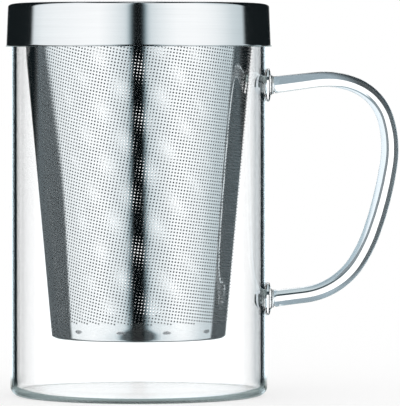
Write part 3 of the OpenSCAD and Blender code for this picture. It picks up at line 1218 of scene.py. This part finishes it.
def finish_stage(tree, passed, shader):
    """Lets the rays for which passed is 1 through a piece of the stage, and shows the others its shader."""
    clear = result(tree, "ShaderNodeBsdfTransparent", ())
    choice = result(tree, "ShaderNodeMixShader", (passed, shader, clear))
    feed(add_node(tree, "ShaderNodeOutputMaterial").inputs["Surface"], choice)


# Two cards that only glass shows. The first stands behind on the right, and draws the dark line in the wall's
# side: corners in millimetres, its colour, and its paler colour where the rod shows it
SIDE_CARD = ((91, 127, -12), (116, 127, -12), (116, 127, 112), (91, 127, 112))
SIDE_CARD_DARK = (0.012, 0.02, 0.024)
SIDE_CARD_IN_ROD = (0.20, 0.23, 0.25)
# The second stands just behind the handle and draws the band along the rod's outer side: how far behind in
# millimetres, and how far inside the rod's own line its edge runs, by the length along the rod
LOOP_CARD_BACK = 18
LOOP_CARD_INSET = (
    (0, -0.6), (8.7, -0.45), (15, 0.1), (21.5, 1.2), (27, 1.6), (36, 3.5), (45, 4.8), (92, 4.8),
    (98, 4.1), (105, 3.6), (116, 3.8),
)
# Its colours from the mug's side to the far side, and the places in millimetres they are blended between.
# Between the lean's two heights the dark starts nearer the mug, by its third number per millimetre inside
LOOP_CARD_COLOURS = ((0.33, 0.41, 0.46), (0.045, 0.056, 0.062))
LOOP_CARD_BLEND = (61, 70)
LOOP_CARD_LEAN = (96, 33, 0.7)


def loop_card_corners(studio, glass):
    """The outline of the card behind the handle, as the camera sees it inside the rod's line."""
    places, insets = zip(*LOOP_CARD_INSET)
    eye = Vector(studio.eye) / MM
    grow = (LOOP_CARD_BACK - eye.y) / -eye.y
    corners = []
    for x, z, heading, along in rod_stations((glass.radius + glass.pad_height) / MM, glass.upper_root / MM):
        inset = float(np.interp(along, places, insets))
        x += inset * math.sin(heading * DEG)
        z -= inset * math.cos(heading * DEG)
        corners.append((eye.x + (x - eye.x) * grow, LOOP_CARD_BACK, eye.z + (z - eye.z) * grow))
    return corners


def card_for_glass(name, corners, colour_of, only_rod):
    """A card that stands near the mug for what is seen through glass; nothing else sees it."""
    start_clean()
    bpy.ops.mesh.primitive_circle_add(vertices=len(corners), radius=MM, fill_type="NGON")
    card = bpy.context.object
    card.name = name
    for vertex, corner in zip(card.data.vertices, corners):
        vertex.co = Vector(corner) * MM
    for ray in ("camera", "diffuse", "glossy", "volume_scatter", "shadow"):
        setattr(card, "visible_" + ray, False)
    material = bpy.data.materials.new(name)
    set_finishes(card, material)
    tree, path = bare_tree(material)
    in_rod = path["Transmission Depth"] < ONE_PIECE
    seen = seen_through_glass(path)
    if only_rod:
        seen = seen * in_rod
    finish_stage(tree, 1 - seen, result(tree, "ShaderNodeEmission", {"Color": colour_of(in_rod)}))


def side_card_colour(in_rod):
    """Dark, and paler where the rod shows it."""
    return tint_between(in_rod, SIDE_CARD_DARK, SIDE_CARD_IN_ROD)


def loop_card_colour(in_rod):
    """Pale near the mug, above and below, and dark along the loop's far side."""
    x, y, z = axes(result(in_rod.tree, "ShaderNodeTexCoord", (), "Object"))
    top, foot, lean = LOOP_CARD_LEAN
    inwards = (top * MM - z).maths("MINIMUM", z - foot * MM)
    place = inwards.maths("MULTIPLY_ADD", lean, x)
    return tint_between(spread(place, *[p * MM for p in LOOP_CARD_BLEND], 0, 1), *LOOP_CARD_COLOURS)


# How much of the floor's white is its own colour, lit, and so keeps the mug's shadow
FLOOR_LIT = 0.4


def pale_floor(studio):
    """A pale floor; what steel mirrors and glass bends goes on through it to the studio below."""
    start_clean()
    bpy.ops.mesh.primitive_plane_add(size=studio.floor_size, location=(0, 0, 0))
    floor = bpy.context.object
    floor.name = "studio_floor"
    material = bpy.data.materials.new("pale_floor")
    set_finishes(floor, material)
    tree, path = bare_tree(material)
    dull = result(tree, "ShaderNodeBsdfDiffuse", {"Color": (FLOOR_LIT, FLOOR_LIT, FLOOR_LIT, 1)})
    lift = result(tree, "ShaderNodeEmission", {"Strength": 1 - FLOOR_LIT})
    mirrored = path["Is Glossy Ray"].maths("MAXIMUM", path["Glossy Depth"] > ANY)
    passed = seen_through_glass(path).maths("MAXIMUM", mirrored)
    finish_stage(tree, passed, result(tree, "ShaderNodeAddShader", (dull, lift)))


class MUG_OT_studio(bpy.types.Operator):
    """Sets the camera, the floor and the white surroundings"""

    bl_idname = "mug.studio"
    bl_label = "White studio"

    def execute(self, context):
        studio = context.scene.studio
        start_clean()
        towards = Vector(studio.target) - Vector(studio.eye)
        bpy.ops.object.camera_add(location=studio.eye, rotation=towards.to_track_quat("-Z", "Y").to_euler())
        camera = context.object
        camera.name = "photo_camera"
        camera.data.lens = studio.lens
        camera.data.sensor_width = 36
        camera.data.clip_start = 0.05
        camera.data.clip_end = 50
        context.scene.camera = camera
        context.scene.view_settings.view_transform = "Standard"
        pale_floor(studio)
        card_for_glass("side_card", SIDE_CARD, side_card_colour, False)
        loop = loop_card_corners(studio, context.scene.mug_glass)
        card_for_glass("loop_card", loop, loop_card_colour, True)
        build_world(context)
        return {"FINISHED"}


class MUG_PT_parts(bpy.types.Panel):
    """Lists the pieces of the mug"""

    bl_idname = "MUG_PT_parts"
    bl_label = "Infuser Mug"
    bl_space_type = "VIEW_3D"
    bl_region_type = "UI"
    bl_category = "Infuser Mug"

    def draw(self, context):
        for step in STEPS:
            self.layout.operator(step.bl_idname)
        for name in SETTINGS:
            box = self.layout.box()
            settings = getattr(context.scene, name)
            for key in settings.bl_rna.properties.keys():
                if key not in ("rna_type", "name"):
                    box.prop(settings, key)


STEPS = (MUG_OT_studio, MUG_OT_glass, MUG_OT_infuser_wall, MUG_OT_infuser_pan, MUG_OT_infuser_collar,
         MUG_OT_lid_cap, MUG_OT_lid_plate, MUG_OT_lid_seal)
SETTINGS = {
    "mug_glass": MugGlassSettings,
    "infuser": InfuserSettings,
    "lid": LidSettings,
    "studio": StudioSettings,
}
CLASSES = (*SETTINGS.values(), *STEPS, MUG_PT_parts)


def register():
    for part in CLASSES:
        bpy.utils.register_class(part)
    for name, group in SETTINGS.items():
        setattr(bpy.types.Scene, name, PointerProperty(type=group))


def unregister():
    for name in SETTINGS:
        delattr(bpy.types.Scene, name)
    for part in reversed(CLASSES):
        bpy.utils.unregister_class(part)


def main():
    """Builds everything in order."""
    register()
    bpy.ops.mug.studio()
    bpy.ops.mug.glass()
    bpy.ops.mug.infuser_wall()
    bpy.ops.mug.infuser_pan()
    bpy.ops.mug.infuser_collar()
    bpy.ops.mug.lid_cap()
    bpy.ops.mug.lid_plate()
    bpy.ops.mug.lid_seal()


if __name__ == "__main__":
    main()
